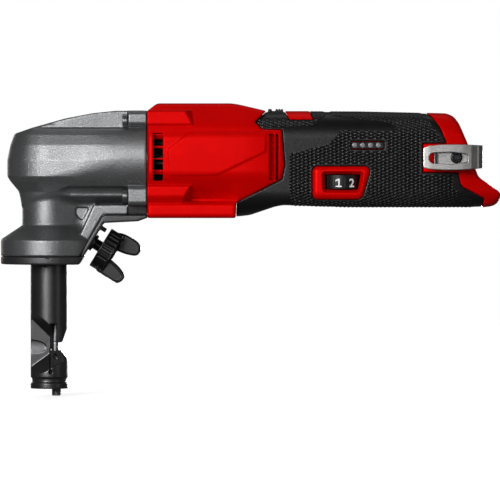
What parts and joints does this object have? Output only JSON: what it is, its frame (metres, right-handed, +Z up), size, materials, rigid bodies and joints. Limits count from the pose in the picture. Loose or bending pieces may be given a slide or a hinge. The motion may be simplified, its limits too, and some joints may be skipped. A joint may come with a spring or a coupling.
{
  "type": "cordless nibbler",
  "caption": "Right-angle cordless sheet-metal nibbler: cast head with a turning die holder and clamp knob, barrel grip with speed dial, slide switch, belt clip and battery socket.",
  "frame": {"origin": "on the die holder's axis, level with the underside of the head's base cover", "axes": "+X along the motor and grip towards the battery socket, +Z up the die holder's axis into the head, -Y the side with the speed dial, fuel gauge and belt clip"},
  "size_m": [0.2599, 0.0617, 0.1525],
  "materials": {
    "cast_metal": "fine speckled grey coating on a die casting, satin",
    "black_steel": "black oxide, low sheen",
    "bright_steel": "ground steel",
    "spring_steel": "polished spring strip",
    "bronze": "sintered bronze",
    "alloy_plate": "machined alloy",
    "red_plastic": "moulded, semi-gloss",
    "red_inlay": "moulded, semi-gloss",
    "grip_rubber": "soft overmould with a fine lozenge pattern",
    "black_plastic": "moulded, matte",
    "grey_lens": "translucent light pipes, unlit",
    "lamination": "stacked steel and windings",
    "circuit_board": "solder mask",
    "copper": "plated spring contacts",
    "wire_sleeve": "insulated leads"
  },
  "bodies": {
    "tool_body": {"gear_case": "cast_metal", "base_cover": "cast_metal", "gear_case_screws": "black_steel", "base_cover_screws": "black_steel", "stop_pin": "black_steel", "crank_carrier": "alloy_plate", "gear_plate": "alloy_plate", "ram_sleeve": "bronze", "crank_front_bearing": "bright_steel", "crank_rear_bearing": "bright_steel", "rotor_front_bearing": "bright_steel", "rotor_rear_bearing": "bright_steel", "stator": "lamination", "hall_board": "circuit_board", "motor_leads": "wire_sleeve", "motor_housing_left": "red_plastic", "motor_housing_right": "red_plastic", "housing_screws": "black_steel", "grip_overmould_left": "grip_rubber", "grip_overmould_right": "grip_rubber", "badge": "red_inlay", "dial_bezel": "red_inlay", "dial_potentiometer": "black_plastic", "gauge_frame": "red_inlay", "gauge_lenses": "grey_lens", "gauge_board": "circuit_board", "control_board": "circuit_board", "switch_module": "black_plastic", "terminal_block": "black_plastic", "battery_contacts": "copper", "battery_leads": "wire_sleeve", "belt_clip": "spring_steel", "belt_clip_screw": "bright_steel", "clamp_bush": "black_steel"},
    "rotor": {"rotor_shaft": "bright_steel", "rotor_core": "lamination", "cooling_fan": "black_plastic"},
    "crank": {"crankshaft": "bright_steel", "drive_gear": "bright_steel", "eccentric_roller": "bright_steel"},
    "ram": {"ram": "bright_steel", "punch_retainer": "bright_steel"},
    "die_holder": {"die_holder": "black_steel", "die_insert": "bright_steel", "die_screw": "black_steel"},
    "punch": {"punch": "bright_steel"},
    "clamp_shoe": {"clamp_shoe": "bright_steel"},
    "clamp_screw": {"clamp_stud": "black_steel", "clamp_knob": "black_plastic"},
    "switch_slider": {"switch_slider": "black_plastic"},
    "speed_dial": {"speed_dial": "black_plastic"}
  },
  "joints": [
    {"name": "crank_spin", "type": "hinge", "parent": "tool_body", "child": "crank", "pos_m": [0, 0, 0.045], "axis": [1, 0, 0], "continuous": true},
    {"name": "rotor_spin", "type": "hinge", "parent": "tool_body", "child": "rotor", "pos_m": [0, 0, 0.0552], "axis": [1, 0, 0], "continuous": true},
    {"name": "ram_slide", "type": "slide", "parent": "tool_body", "child": "ram", "axis": [0, 0, 1], "range_m": [-0.00275, 0.00275]},
    {"name": "die_turn", "type": "hinge", "parent": "tool_body", "child": "die_holder", "pos_m": [0, 0, 0], "axis": [0, 0, 1], "continuous": true},
    {"name": "punch_slide", "type": "slide", "parent": "die_holder", "child": "punch", "axis": [0, 0, 1], "range_m": [-0.00276, 0.00276]},
    {"name": "clamp_shoe_slide", "type": "slide", "parent": "tool_body", "child": "clamp_shoe", "axis": [0.8526, 0, -0.5225], "range_m": [0, 0.00201]},
    {"name": "clamp_turn", "type": "hinge", "parent": "clamp_shoe", "child": "clamp_screw", "pos_m": [0.0226, 0, 0.0114], "axis": [0.8526, 0, -0.5225], "range_deg": [0, 720]},
    {"name": "switch_slide", "type": "slide", "parent": "tool_body", "child": "switch_slider", "axis": [-1, 0, 0], "range_m": [0, 0.0035]},
    {"name": "dial_turn", "type": "hinge", "parent": "tool_body", "child": "speed_dial", "pos_m": [0.15205, -0.0126, 0], "axis": [0, 0, -1], "range_deg": [0, 240]}
  ],
  "couplings": [
    {"joint": "rotor_spin", "follows": "crank_spin", "ratio": -4.125},
    {"joint": "punch_slide", "follows": "ram_slide", "ratio": 1},
    {"joint": "clamp_shoe_slide", "follows": "clamp_turn", "m_per_rad": 0.00015915}
  ]
}
